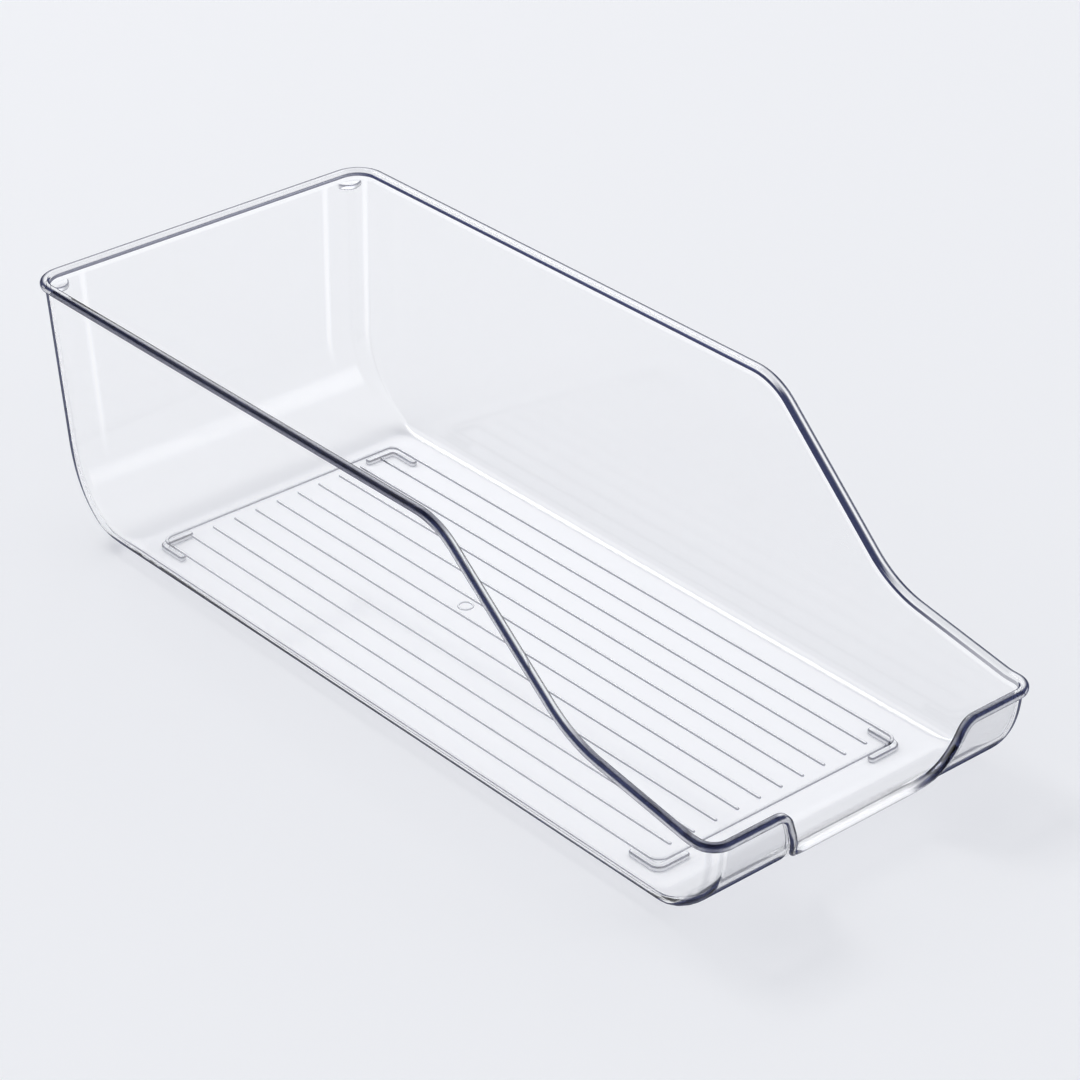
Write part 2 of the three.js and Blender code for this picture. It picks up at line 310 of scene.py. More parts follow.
def cut_rises(line, limit):
    """The line with its sloping stretches cut into rises no higher than the limit."""
    cut = [line[0]]
    for before, after in zip(line, line[1:]):
        count = max(1, math.ceil(abs(after.y - before.y) / limit))
        cut += [before.lerp(after, step / count) for step in range(1, count + 1)]
    return cut


def half_stations():
    """Stations from the end of the rear wall round to the middle of the front."""
    side_top = plan_at(BIN_HEIGHT, MIDDLE_SKIN)
    stations = []
    rear_half = side_top["right"] - side_top["rear_radius"]
    for reach, glow in ((CORNER_GLOW_REACH, 0), (0, CORNER_GLOW), (-CORNER_GLOW_REACH, 0)):
        share = 1 - (REAR_GLOW_PLACE + reach) / rear_half
        stations.append({"zone": "rear", "share": share, "rim": BIN_HEIGHT, "glow": glow})
    for step in range(CORNER_STEPS):
        angle = math.pi / 2 * (1 - step / CORNER_STEPS)
        stations.append({"zone": "rear_corner", "angle": angle, "rim": BIN_HEIGHT})
    side_low = plan_at(LIP_HEIGHT, MIDDLE_SKIN)
    side_line = rounded_line(
        [
            Vector((side_top["rear"] - side_top["rear_radius"], BIN_HEIGHT)),
            Vector((SHOULDER_REACH - REAR_END, BIN_HEIGHT)),
            Vector((SWEEP_END_REACH - REAR_END, SWEEP_END_HEIGHT)),
            Vector((LIP_REACH - REAR_END, LIP_HEIGHT)),
            Vector((side_low["front"] + side_low["front_radius"], LIP_HEIGHT)),
        ],
        [SHOULDER_BEND, SWEEP_END_BEND, LIP_BEND],
        SWEEP_STEPS,
    )
    for point in cut_rises(side_line, LONGEST_RISE)[:-1]:
        plan = plan_at(point.y, MIDDLE_SKIN)
        start = plan["front"] + plan["front_radius"]
        share = (point.x - start) / (plan["rear"] - plan["rear_radius"] - start)
        stations.append({"zone": "side", "share": share, "rim": point.y})
    for step in range(CORNER_STEPS):
        angle = math.pi / 2 * step / CORNER_STEPS
        stations.append({"zone": "front_corner", "angle": angle, "rim": LIP_HEIGHT})
    front_line = rounded_line(
        [
            Vector((side_low["right"] - side_low["front_radius"], LIP_HEIGHT)),
            Vector((NOTCH_TOP_WIDTH / 2, LIP_HEIGHT)),
            Vector((NOTCH_BOTTOM_WIDTH / 2, NOTCH_HEIGHT)),
            Vector((0, NOTCH_HEIGHT)),
        ],
        [NOTCH_TOP_BEND, NOTCH_BOTTOM_BEND],
        SWEEP_STEPS,
    )
    for point in cut_rises(front_line, LONGEST_RISE):
        plan = plan_at(point.y, MIDDLE_SKIN)
        share = point.x / (plan["right"] - plan["front_radius"])
        stations.append({"zone": "front", "share": share, "rim": point.y})
    return stations


def all_stations():
    right = [{**station, "side": 1} for station in half_stations()]
    left = [{**station, "side": -1} for station in reversed(right[:-1])]
    return right + left


def bead_section(steep, band, top, outside_line):
    """The bead's section, from the inside over the top and back under to the outer skin, as
    (across the skin, up from the rim's top edge, its painted dark lines and glow), with how dark the
    painted band on its inner face, its flat top and its outside are."""

    def by_tilt(values):
        return lerp(values["level"], values["steep"], steep)

    inside = -WALL / 2
    outside = inside + RIM_WIDTH
    back = by_tilt(INNER_BACK)
    top_glow = by_tilt(TOP_GLOW)
    section = [
        (inside, -RIM_HEIGHT, {**CLEAR, "glow": RIM_GLOW, "back": back}),
        (inside, BAND_FADE - RIM_HEIGHT, {**CLEAR, "band": band, "back": back}),
        (inside, BAND_RISE - RIM_HEIGHT, {**CLEAR, "band": band, "back": back}),
    ]
    inner = inside + RIM_ROUND
    outer = outside - RIM_ROUND
    edge = 2 * ROUND_OUTLINE_REACH / RIM_ROUND

    def add_round(across, up, start_angle, drawn_at):
        for step in range(RIM_ROUND_STEPS + 1):
            share = step / RIM_ROUND_STEPS
            angle = start_angle - math.pi / 2 * share
            place = (across + RIM_ROUND * math.cos(angle), up + RIM_ROUND * math.sin(angle))
            shown_edge = edge if 0 < step < RIM_ROUND_STEPS else 0
            section.append((*place, {**CLEAR, "edge": shown_edge, **drawn_at(share)}))

    # Painted dark lines and painted glow over the bead's rounds, in place of what refraction shows there
    def inner_drawn(share):
        return {
            "line": top * share,
            "round": by_tilt(INNER_ROUND) * math.sqrt(math.sin(math.pi * share)),
            "band": band * steep * (1 - smoothstep(share, 0, BAND_END_SHARE)),
            "back": back * (1 - smoothstep(share, BACK_START_SHARE, 1)),
            "glow": top_glow * smoothstep(share, TOP_GLOW_START_SHARE, 1),
        }

    def outer_drawn(share):
        side = smoothstep(share, OUTSIDE_START_SHARE, 1)
        margin = max(top, by_tilt(OUTER_MARGIN)) * (1 - smoothstep(share, *MARGIN_FADE_SHARES))
        line = max(outside_line * side, margin)
        return {"round": by_tilt(TOP_ROUND) * (1 - side), "line": line}

    def under_drawn(share):
        line = outside_line * (1 - smoothstep(share, *UNDER_FADE_SHARES))
        return {"line": max(line, UNDER_LINE * math.sin(math.pi * share))}

    add_round(inner, -RIM_ROUND, math.pi, inner_drawn)
    section.append((outer - OUTER_MARGIN["inset"], 0, {**CLEAR, "line": top, "glow": top_glow}))
    add_round(outer, -RIM_ROUND, math.pi / 2, outer_drawn)
    add_round(outer, RIM_ROUND - RIM_HEIGHT, 0, under_drawn)
    section.append((WALL / 2, -RIM_HEIGHT, CLEAR))
    return section


def row_heights(skin, highest):
    """Heights of the mesh rows on one skin, from the floor up to the highest free height. Those under
    the notch are the same all round, and those above are drawn closer where the edge is low."""
    bend = REAR_BEND + skin["extra"]
    bend_top = skin["base"] + bend * (1 - math.sin(WALL_DRAFT))
    turn = math.pi / 2 - WALL_DRAFT
    bend_rows_top = lerp(EVEN_ROWS_TOP, highest, BEND_ROWS_SHARE)
    squeeze = min(1, (bend_rows_top - EVEN_ROWS_TOP) / (bend_top - EVEN_ROWS_TOP))
    rows = []
    for step in range(BEND_STEPS + 1):
        row = skin["base"] + bend * (1 - math.cos(turn * step / BEND_STEPS))
        rows.append(min(row, EVEN_ROWS_TOP) + max(0, row - EVEN_ROWS_TOP) * squeeze)
    last = rows[-1]
    glow_reach = min(RIM_GLOW_REACH, (highest - last) / (LAST_ROW_PARTS * WALL_STEPS))
    for step in range(1, WALL_STEPS):
        rows.append(lerp(last, highest, step / WALL_STEPS))
    return rows + [highest - 2 * glow_reach, highest - glow_reach]


def edge_at(station, z, skin):
    """How curved the skin is there, so that its painted dark outline gets the same width on every bend
    and corner and none on flat faces or on the low front under the notch."""
    zone = station["zone"]
    corner = 0
    side_share = 1 if zone == "side" else 0
    if "angle" in station:
        from_tangent = min(station["angle"], math.pi / 2 - station["angle"])
        radius = plan_at(z, skin)[zone.replace("corner", "radius")]
        off_floor = smoothstep(z, skin["base"], skin["base"] + SIDE_BEND)
        if skin is OUTER_SKIN:
            corner = smoothstep(from_tangent, 0, CORNER_FADE) * off_floor / radius
        side_share = math.cos(station["angle"]) ** 2
    at_rear = zone in ("rear", "rear_corner")
    end_bend = REAR_BEND if at_rear else FRONT_BEND
    end_reach = REAR_OUTLINE_REACH if at_rear else FRONT_OUTLINE_REACH
    corner_reach = REAR_CORNER_OUTLINE_REACH if at_rear else FRONT_CORNER_OUTLINE_REACH
    bends = [
        (side_share * SIDE_OUTLINE_REACH, SIDE_BEND + skin["extra"]),
        ((1 - side_share) ** 2 * end_reach, end_bend + skin["extra"]),
    ]
    bend = 0
    for reach, radius in bends:
        bend += 2 * reach / radius * hump((z - skin["base"]) / radius, *OUTLINE_SHARES)
    return max(2 * corner_reach * corner, bend * beside_notch(station))


def under_rim(z, skin, highest):
    """Whether a row of the inner skin lies close under the rim bead."""
    return skin is INNER_SKIN and highest - z < UNDER_RIM_REACH


def painted_glow_at(station, z, skin, highest):
    """Painted highlights: bright upright bands at the rear corners, bright lines on the sides' floor
    bends and under the rim, and a soft glow low on the rear bend."""
    glow = station.get("glow", 0)
    if station["zone"] == "rear_corner":
        from_band = abs(station["angle"] - CORNER_GLOW_ANGLE) * REAR_CORNER
        glow = CORNER_GLOW * (1 - smoothstep(from_band, 0, CORNER_GLOW_REACH))
    glow *= smoothstep(z, skin["base"] + REAR_BEND / 2, skin["base"] + REAR_BEND)
    if station["zone"] == "side":
        rise = (z - skin["base"]) / (SIDE_BEND + skin["extra"])
        glow = BEND_GLOW * hump(rise, *SIDE_GLOW_SHARES)
    if station["zone"] in ("rear", "rear_corner") and skin is INNER_SKIN:
        rise = (z - skin["base"]) / REAR_BEND
        glow = max(glow, REAR_BEND_GLOW * hump(rise, *REAR_GLOW_SHARES))
    if under_rim(z, skin, highest):
        glow = max(glow, RIM_GLOW)
    return glow


def painted_streak_at(station, z, skin):
    """Painted soft dark upright streaks on the outside of the front corners and a faint painted shade on
    the front.
    """
    if station["zone"] == "front":
        off_floor = smoothstep(z, skin["base"], skin["base"] + FRONT_BEND / 2)
        return PAINTED_FRONT_SHADE * off_floor * beside_notch(station)
    if station["zone"] != "front_corner" or skin is INNER_SKIN:
        return 0
    share = station["angle"] / (math.pi / 2)
    fade = smoothstep(z, skin["base"], skin["base"] + SIDE_BEND)
    darks = []
    for streak in PAINTED_STREAKS:
        from_middle = abs(share - streak["share"])
        darks.append(streak["dark"] * (1 - smoothstep(from_middle, 0, streak["width"])))
    return fade * max(darks)


def skin_drawn(station, z, skin, highest):
    """How dark the skin is painted there and how brightly its painted highlight glows."""
    high_rim = smoothstep(station["rim"], SWEEP_END_HEIGHT, BIN_HEIGHT)
    back = INNER_BACK["level"] * low_rim_share(station) * high_rim
    return {
        "line": painted_streak_at(station, z, skin),
        "round": 0,
        "band": 0,
        "back": back if under_rim(z, skin, highest) else 0,
        "edge": edge_at(station, z, skin),
        "glow": painted_glow_at(station, z, skin, highest),
    }


def beside_notch(station):
    """0 on the stations of the notch's bottom, 1 on those beside it."""
    if station["zone"] != "front":
        return 1
    x = plan_point(station, station["rim"], MIDDLE_SKIN).x
    return smoothstep(abs(x), NOTCH_TOP_WIDTH / 2 - NOTCH_FADE, NOTCH_TOP_WIDTH / 2)


def band_at(station):
    """How dark the painted band on the bead's inner face is at a station."""
    if station["zone"] == "side":
        high = smoothstep(station["rim"], LIP_HEIGHT, SWEEP_END_HEIGHT)
        return lerp(INNER_BAND["low"], INNER_BAND["high"], high)
    if station["zone"] == "rear_corner":
        return lerp(INNER_BAND["rear"], INNER_BAND["high"], math.cos(station["angle"]) ** 2)
    return INNER_BAND["rear" if station["zone"] == "rear" else "low"]


def low_rim_share(station):
    """How much of the rim's painted dark lines is left at a station: little on the notch's bottom."""
    if station["zone"] != "front":
        return 1
    x = plan_point(station, station["rim"], MIDDLE_SKIN).x
    bottom_half = NOTCH_BOTTOM_WIDTH / 2
    beside = smoothstep(abs(x), bottom_half - 2 * RIM_HEIGHT, bottom_half + RIM_HEIGHT)
    return lerp(LOW_RIM_SHARE, 1, beside)


def add_rings(mesh, rings, drawn, closed_section):
    """Faces between rings of points, one ring after another and round to the first again, with how
    dark each point of each ring is painted and how brightly it glows."""
    loops = [[mesh.verts.new(point) for point in ring] for ring in rings]
    for name in DRAWN:
        layer = mesh.verts.layers.float[name]
        for ring, ring_drawn in zip(loops, drawn):
            for vert, dark in zip(ring, ring_drawn):
                vert[layer] = dark[name]
    for i, ring in enumerate(loops):
        following = loops[(i + 1) % len(loops)]
        size = len(ring)
        for k in range(size if closed_section else size - 1):
            after = (k + 1) % size
            mesh.faces.new((ring[k], following[k], following[after], ring[after]))
    return loops


def add_skin(mesh):
    """The tub's skin: floor, bends, walls and rim bead as one closed mesh."""
    stations = all_stations()
    rims = [plan_point(station, station["rim"], MIDDLE_SKIN) for station in stations]
    rings = []
    drawn = []
    for i, station in enumerate(stations):
        rim = rims[i]
        along = (rims[(i + 1) % len(rims)] - rims[i - 1]).normalized()
        down = plan_point(station, station["rim"] - RIM_HEIGHT, MIDDLE_SKIN) - rim
        out = along.cross(down).normalized()
        up = out.cross(along).normalized()
        if up.z < 0:
            up.negate()
        highest = station["rim"] - (RIM_HEIGHT + OVERRUN) / up.z
        ring = []
        ring_drawn = []
        for skin in (INNER_SKIN, OUTER_SKIN):
            rows = row_heights(skin, highest)
            ring.append([plan_point(station, z, skin) for z in rows])
            ring_drawn.append([skin_drawn(station, z, skin, highest) for z in rows])
        inner, outer = ring
        inner_drawn, outer_drawn = ring_drawn
        steep = smoothstep(1 - up.z, LEVEL_TILT, STEEP_TILT)
        top = NOTCH_TOP * steep if station["zone"] == "front" else 0
        at_corner = math.sin(2 * station.get("angle", 0))
        outside_line = lerp(OUTSIDE_LINE, CORNER_OUTSIDE_LINE, at_corner)
        section = bead_section(steep, band_at(station), top, outside_line)
        bead = [rim + out * across + up * height for across, height, dark in section]
        strength = low_rim_share(station)
        bead_drawn = []
        for across, height, dark in section:
            faded = {name: strength * dark[name] for name in DRAWN}
            glow = lerp(NOTCH_GLOW, dark["glow"], strength)
            bead_drawn.append({**faded, "edge": dark["edge"], "glow": glow})
        rings.append(inner + bead + outer[::-1])
        drawn.append(inner_drawn + bead_drawn + outer_drawn[::-1])
    loops = add_rings(mesh, rings, drawn, closed_section=False)
    mesh.faces.new([loop[0] for loop in loops])
    mesh.faces.new([loop[-1] for loop in reversed(loops)])


def flank_drawn(share):
    """How dark a ridge is painted, from its clear crest over its flank to its clear foot."""
    return {**CLEAR, "line": RIDGE_LINE * math.sin(math.pi * share ** FLANK_PULL)}


def add_open_ridge(mesh, start, end, width, height):
    """A ridge with a rounded crest and rounded ends on the floor, from start to end."""
    half = width / 2
    along = (end - start).normalized()
    rings = []
    for centre, first_angle in ((end, -math.pi / 2), (start, math.pi / 2)):
        for step in range(CAP_STEPS + 1):
            angle = first_angle + math.pi * step / CAP_STEPS
            out = Matrix.Rotation(angle, 2) @ along
            ring = []
            for k in range(RIDGE_STEPS + 1):
                turn = math.pi / 2 * k / RIDGE_STEPS
                place = centre + out * (half * math.sin(turn))
                ring.append(Vector((place.x, place.y, FLOOR_TOP + height * math.cos(turn))))
            foot = ring[-1]
            ring.append(Vector((foot.x, foot.y, FLOOR_TOP - OVERRUN)))
            ring.append(Vector((centre.x, centre.y, FLOOR_TOP - OVERRUN)))
            rings.append(ring)
    drawn = [flank_drawn(k / RIDGE_STEPS) for k in range(RIDGE_STEPS + 1)] + [CLEAR] * 2
    add_rings(mesh, rings, [drawn] * len(rings), closed_section=False)


def add_closed_ridge(mesh, path, width, height):
    """A ridge with a rounded crest along a closed path of (point, outward direction)."""
    half = width / 2
    rings = []
    for point, out in path:
        ring = []
        for k in range(-RIDGE_STEPS, RIDGE_STEPS + 1):
            turn = math.pi / 2 * k / RIDGE_STEPS
            place = point + out * (half * math.sin(turn))
            ring.append(Vector((place.x, place.y, FLOOR_TOP + height * math.cos(turn))))
        for side in (half, -half):
            place = point + out * side
            ring.append(Vector((place.x, place.y, FLOOR_TOP - OVERRUN)))
        rings.append(ring)
    drawn = [flank_drawn(abs(k) / RIDGE_STEPS) for k in range(-RIDGE_STEPS, RIDGE_STEPS + 1)] + [CLEAR] * 2
    add_rings(mesh, rings, [drawn] * len(rings), closed_section=True)


def rounded_rectangle_path(across, along, corner):
    """Points and outward directions round a rectangle with round corners, counterclockwise."""
    path = []
    for quarter in range(4):
        centre_x = (across / 2 - corner) * (1 if quarter in (0, 3) else -1)
        centre_y = (along / 2 - corner) * (1 if quarter in (0, 1) else -1)
        for step in range(CAP_STEPS + 1):
            angle = math.pi / 2 * (quarter + step / CAP_STEPS)
            out = Vector((math.cos(angle), math.sin(angle)))
            path.append((Vector((centre_x, centre_y)) + out * corner, out))
    return path


def add_relief(mesh):
    """The raised frame, the ribs inside it and the gate mark ring."""
    frame_path = rounded_rectangle_path(FRAME_WIDTH, FRAME_LENGTH, FRAME_CORNER)
    add_closed_ridge(mesh, frame_path, RIB_WIDTH, RIB_HEIGHT)
    pitch = FRAME_WIDTH / (RIB_COUNT + 1)
    reach = FRAME_LENGTH / 2 - RIB_END_GAP - RIB_WIDTH / 2
    for rib in range(1, RIB_COUNT + 1):
        x = rib * pitch - FRAME_WIDTH / 2
        add_open_ridge(mesh, Vector((x, -reach)), Vector((x, reach)), RIB_WIDTH, RIB_HEIGHT)
    ring_path = []
    gate_centre = Vector((0, REAR_END - GATE_REAR_REACH))
    for step in range(RING_STEPS):
        angle = 2 * math.pi * step / RING_STEPS
        out = Vector((math.cos(angle), math.sin(angle)))
        ring_path.append((gate_centre + out * (GATE_RADIUS - GATE_RING_WIDTH / 2), out))
    add_closed_ridge(mesh, ring_path, GATE_RING_WIDTH, GATE_RING_HEIGHT)


def add_prism(mesh, outline, bottom, top, edge, edge_dark, side_dark):
    """An upright solid over an outline, with its top and bottom edges rounded and painted dark."""
    low = [mesh.verts.new((x, y, bottom)) for x, y in outline]
    face = mesh.faces.new(low[::-1])
    grown = bmesh.ops.extrude_face_region(mesh, geom=[face])
    risen = [item for item in grown["geom"] if isinstance(item, bmesh.types.BMVert)]
    bmesh.ops.translate(mesh, verts=risen, vec=Vector((0, 0, top - bottom)))
    made = set(low) | set(risen)
    rims = [
        e
        for e in mesh.edges
        if e.verts[0] in made and e.verts[1] in made and abs(e.verts[0].co.z - e.verts[1].co.z) < WELD
    ]
    rounded = bmesh.ops.bevel(
        mesh,
        geom=rims,
        offset=edge,
        segments=EDGE_STEPS,
        profile=ROUND_PROFILE_SHARE,
        affect="EDGES",
        clamp_overlap=True,
    )
    line = mesh.verts.layers.float["line"]
    for vert in rounded["verts"]:
        from_end = min(vert.co.z - bottom, top - vert.co.z)
        vert[line] = side_dark
        if from_end < WELD:
            vert[line] = 0
        elif from_end < edge - WELD:
            vert[line] = edge_dark


def ledge_outline(side):
    """A small ledge across a rear corner: round along the wall and drawn in towards the inside."""
    top = BIN_HEIGHT - LEDGE_DROP
    plan = plan_at(top - LEDGE_THICKNESS, MIDDLE_SKIN)
    radius = plan["rear_radius"]
    centre = Vector((plan["right"] - radius, plan["rear"] - radius))
    points = []
    for step in range(CAP_STEPS + 1):
        angle = LEDGE_TURN - LEDGE_SPREAD / 2 + LEDGE_SPREAD * step / CAP_STEPS
        points.append(Vector((math.cos(angle), math.sin(angle))) * radius)
    nose = radius - WALL / 2 - LEDGE_REACH
    pull = 2 * nose - radius * math.cos(LEDGE_SPREAD / 2)
    pulled = Vector((math.cos(LEDGE_TURN), math.sin(LEDGE_TURN))) * pull
    first, last = points[0], points[-1]
    for step in range(1, CAP_STEPS):
        t = step / CAP_STEPS
        points.append(last * (1 - t) ** 2 + pulled * (2 * t * (1 - t)) + first * t ** 2)
    placed = [centre + point for point in points]
    outline = [(side * point.x, point.y) for point in placed]
    return outline if side > 0 else outline[::-1]


def new_mesh():
    """An empty bmesh with values at each point for how dark it is painted and how brightly it glows."""
    mesh = bmesh.new()
    for name in DRAWN:
        mesh.verts.layers.float.new(name)
    return mesh


def new_piece(name, mesh):
    """A mesh object from a bmesh whose doubles are merged and whose faces point out."""
    bmesh.ops.remove_doubles(mesh, verts=mesh.verts, dist=WELD)
    bmesh.ops.recalc_face_normals(mesh, faces=mesh.faces)
    data = bpy.data.meshes.new(name)
    mesh.to_mesh(data)
    mesh.free()
    piece = bpy.data.objects.new(name, data)
    bpy.context.scene.collection.objects.link(piece)
    return piece


def apply_modifiers(piece):
    """Writes the piece's modifiers into its mesh."""
    graph = bpy.context.evaluated_depsgraph_get()
    data = bpy.data.meshes.new_from_object(piece.evaluated_get(graph))
    piece.modifiers.clear()
    piece.data = data


def smooth(piece):
    """Smooth shading that keeps flat faces flat and leaves edges sharper than the limit sharp."""
    for face in piece.data.polygons:
        face.use_smooth = True
    piece.data.set_sharp_from_angle(angle=SHARP_ANGLE)
    weighted = piece.modifiers.new("weighted", "WEIGHTED_NORMAL")
    weighted.keep_sharp = True
    apply_modifiers(piece)


def make_tub():
    skin_mesh = new_mesh()
    add_skin(skin_mesh)
    tub = new_piece("clear_tub", skin_mesh)
    relief_mesh = new_mesh()
    add_relief(relief_mesh)
    ledge_top = BIN_HEIGHT - LEDGE_DROP
    for side in (1, -1):
        ledge_low = ledge_top - LEDGE_THICKNESS
        outline = ledge_outline(side)
        add_prism(relief_mesh, outline, ledge_low, ledge_top, LEDGE_EDGE, LEDGE_EDGE_LINE, LEDGE_SIDE)
    relief = new_piece("relief", relief_mesh)
    union = tub.modifiers.new("union", "BOOLEAN")
    union.operation = "UNION"
    union.solver = "MANIFOLD"
    union.object = relief
    apply_modifiers(tub)
    bpy.data.objects.remove(relief)
    smooth(tub)
    return tub


def foot_outline(low, high):
    """An L as its CAD node lies: the bend at the corner that is farthest from the bin's middle."""
    half = FOOT_WIDTH / 2
    side_x = 1 if low.x + high.x > 0 else -1
    side_y = 1 if low.y + high.y > 0 else -1
    arm = high.x - low.x
    outer = FOOT_INNER_BEND + FOOT_WIDTH
    points = []

    def arc(centre_x, centre_y, radius, start, end):
        for step in range(CAP_STEPS + 1):
            angle = start + (end - start) * step / CAP_STEPS
            points.append((centre_x + radius * math.cos(angle), centre_y + radius * math.sin(angle)))

    # Measured from the bend's outer corner, with the arms along -X and -Y
    arc(half - arm, -half, half, math.pi / 2, math.pi * 1.5)
    arc(-outer, -outer, FOOT_INNER_BEND, math.pi / 2, 0)
    arc(-half, half - arm, half, math.pi, math.pi * 2)
    arc(-outer, -outer, outer, 0, math.pi / 2)
    corner_x = high.x if side_x > 0 else low.x
    corner_y = high.y if side_y > 0 else low.y
    outline = [(corner_x + side_x * x, corner_y + side_y * y) for x, y in points]
    return outline if side_x * side_y > 0 else outline[::-1]


def make_foot(node):
    low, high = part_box(node)
    mesh = new_mesh()
    top = high.z - FOOT_GAP
    add_prism(mesh, foot_outline(low, high), low.z, top, FOOT_EDGE, FOOT_EDGE_LINE, FOOT_SIDE)
    foot = new_piece("clear_" + node, mesh)
    smooth(foot)
    return foot


# Materials
PLASTIC_BEND_IOR = 1.10
PLASTIC_SHINE_IOR = 1.55
PLASTIC_TINT = (1.0, 1.0, 1.0, 1)
SHINE_ROUGHNESS = 0.12
TUB_ROUGHNESS = (0.0, 0.02)
FOOT_ROUGHNESS = (0.03, 0.08)
HAZE_SCALE = 60.0
HAZE_DETAIL = 3.0
WAVE_SCALE = 26.0
WAVE_DETAIL = 1.0
WAVE_DEPTH = 0.0002
WAVE_STRENGTH = 0.12
# The colour of the painted dark lines and of the painted glowing highlights
PAINTED_LINE_COLOUR = (0.052, 0.060, 0.125, 1)
PAINTED_GLOW_COLOUR = (1.0, 1.0, 1.0, 1)
SHADOW_COLOUR = (0.968, 0.968, 0.972, 1)
SHADOW_LINE = (0.20, 0.21, 0.25, 1)
SQUARE_GAMMA = 2.0
OUTLINE_CORE_SHARE = 0.55
FLATTEST_EDGE = 0.001
FACED_ROUND_SHARES = (0.54, 0.68)
GRAZING_SHARES = (0.72, 0.92)
LINE_THROUGH = 0.1


def node_material(name):
    material = bpy.data.materials.new(name)
    material.use_nodes = True
    tree = material.node_tree
    return material, tree, tree.nodes["Principled BSDF"], tree.nodes["Material Output"]


def set_socket(tree, socket, value):
    """Links another node's output to a socket, or sets the socket to a constant."""
    if isinstance(value, bpy.types.NodeSocket):
        tree.links.new(value, socket)
    else:
        socket.default_value = value


def calculated(tree, operation, *values, clamp=False):
    """The result of a Math node."""
    node = tree.nodes.new("ShaderNodeMath")
    node.operation = operation
    node.use_clamp = clamp
    for socket, value in zip(node.inputs, values):
        set_socket(tree, socket, value)
    return node.outputs["Value"]


def remapped(tree, value, span=(0.0, 1.0), ends=(0.0, 1.0), interpolation="LINEAR"):
    """A value carried from a span to a pair of end values."""
    node = tree.nodes.new("ShaderNodeMapRange")
    node.interpolation_type = interpolation
    for name, number in zip(("From Min", "From Max", "To Min", "To Max"), (*span, *ends)):
        node.inputs[name].default_value = number
    tree.links.new(value, node.inputs["Value"])
    return node.outputs["Result"]


def mixed_colour(tree, share, first, second):
    """A colour between two others."""
    node = tree.nodes.new("ShaderNodeMix")
    node.data_type = "RGBA"
    sockets = {socket.identifier: socket for socket in (*node.inputs, *node.outputs)}
    set_socket(tree, sockets["Factor_Float"], share)
    set_socket(tree, sockets["A_Color"], first)
    set_socket(tree, sockets["B_Color"], second)
    return sockets["Result_Color"]


def noise(tree, scale, detail):
    """Soft noise that stays fixed to the piece."""
    place = tree.nodes.new("ShaderNodeTexCoord")
    cloud = tree.nodes.new("ShaderNodeTexNoise")
    cloud.inputs["Scale"].default_value = scale
    cloud.inputs["Detail"].default_value = detail
    tree.links.new(place.outputs["Object"], cloud.inputs["Vector"])
    return cloud.outputs["Fac"]


def drawn_value(tree, name):
    """One of the values that the mesh holds at its points."""
    node = tree.nodes.new("ShaderNodeAttribute")
    node.attribute_name = name
    return node.outputs["Fac"]


def painted_dark(tree, flatness, inside):
    """How dark the plastic is painted, from 0 to 1, seen from outside or through its back faces: painted
    outlines and lines in place of the dark that refraction shows at edges.
    """
    towards = calculated(tree, "SUBTRACT", 1.0, flatness)
    squared = calculated(tree, "MULTIPLY", towards, towards)
    curved = calculated(tree, "MAXIMUM", drawn_value(tree, "edge"), FLATTEST_EDGE)
    distance = calculated(tree, "DIVIDE", squared, curved)
    outline = remapped(tree, distance, (OUTLINE_CORE_SHARE, 1.0), (1.0, 0.0), "SMOOTHSTEP")
    faced = remapped(tree, towards, FACED_ROUND_SHARES, interpolation="SMOOTHSTEP")
    faced_round = calculated(tree, "MULTIPLY", drawn_value(tree, "round"), faced)
    parts = [
        {"dark": outline, "outside": 1, "inside": 0},
        {"dark": drawn_value(tree, "line"), "outside": 1, "inside": LINE_THROUGH},
        {"dark": drawn_value(tree, "band"), "outside": 1, "inside": 0},
        {"dark": drawn_value(tree, "back"), "outside": 0, "inside": 1},
        {"dark": faced_round, "outside": 1, "inside": 0},
    ]
    total = 0.0
    for part in parts:
        seen = remapped(tree, inside, ends=(part["outside"], part["inside"]))
        total = calculated(tree, "MULTIPLY_ADD", part["dark"], seen, total)
    clamped = tree.nodes.new("ShaderNodeClamp")
    tree.links.new(total, clamped.inputs["Value"])
    return clamped.outputs["Result"]


def straight_path(tree, dark, flatness):
    """A shader that lets light straight through, and how much of the light takes it: all that goes
    to or from matt surfaces, and what meets the plastic at a very flat angle."""
    path = tree.nodes.new("ShaderNodeLightPath")
    matt = calculated(tree, "MAXIMUM", path.outputs["Is Shadow Ray"], path.outputs["Is Diffuse Ray"])
    line = mixed_colour(tree, matt, PAINTED_LINE_COLOUR, SHADOW_LINE)
    straight = tree.nodes.new("ShaderNodeBsdfTransparent")
    tree.links.new(mixed_colour(tree, dark, SHADOW_COLOUR, line), straight.inputs["Color"])
    grazing = remapped(tree, flatness, GRAZING_SHARES, interpolation="SMOOTHSTEP")
    return straight.outputs["BSDF"], calculated(tree, "MAXIMUM", matt, grazing)


